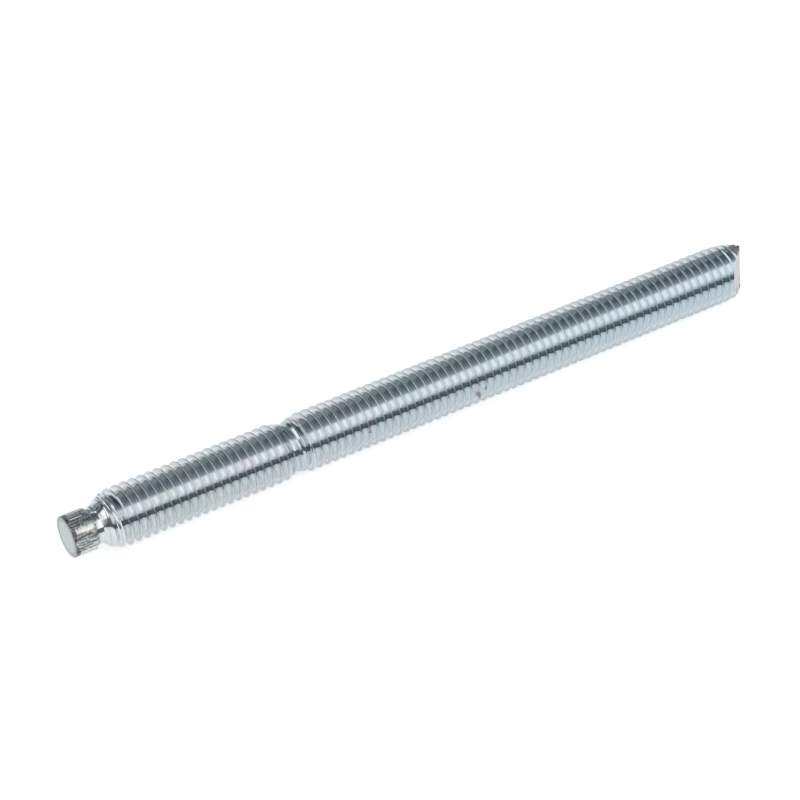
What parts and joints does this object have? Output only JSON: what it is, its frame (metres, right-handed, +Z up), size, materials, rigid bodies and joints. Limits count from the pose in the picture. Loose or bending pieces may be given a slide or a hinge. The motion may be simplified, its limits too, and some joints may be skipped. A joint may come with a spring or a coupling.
{
  "type": "anchor stud",
  "caption": "Zinc-plated M10 threaded anchor stud for resin setting, with a drive hexagon, a depth mark and a roof-shaped tip.",
  "frame": {"origin": "under the middle of the stud's length, on the surface that it lies on", "axes": "+X along the bar's axis from the drive hexagon to the tip, +Z up"},
  "size_m": [0.13, 0.0098, 0.0098],
  "materials": {
    "zinc_plate": "bright blue-white zinc electroplate on cold-formed steel"
  },
  "bodies": {
    "root": {"anchor_stud": "zinc_plate"}
  },
  "joints": []
}
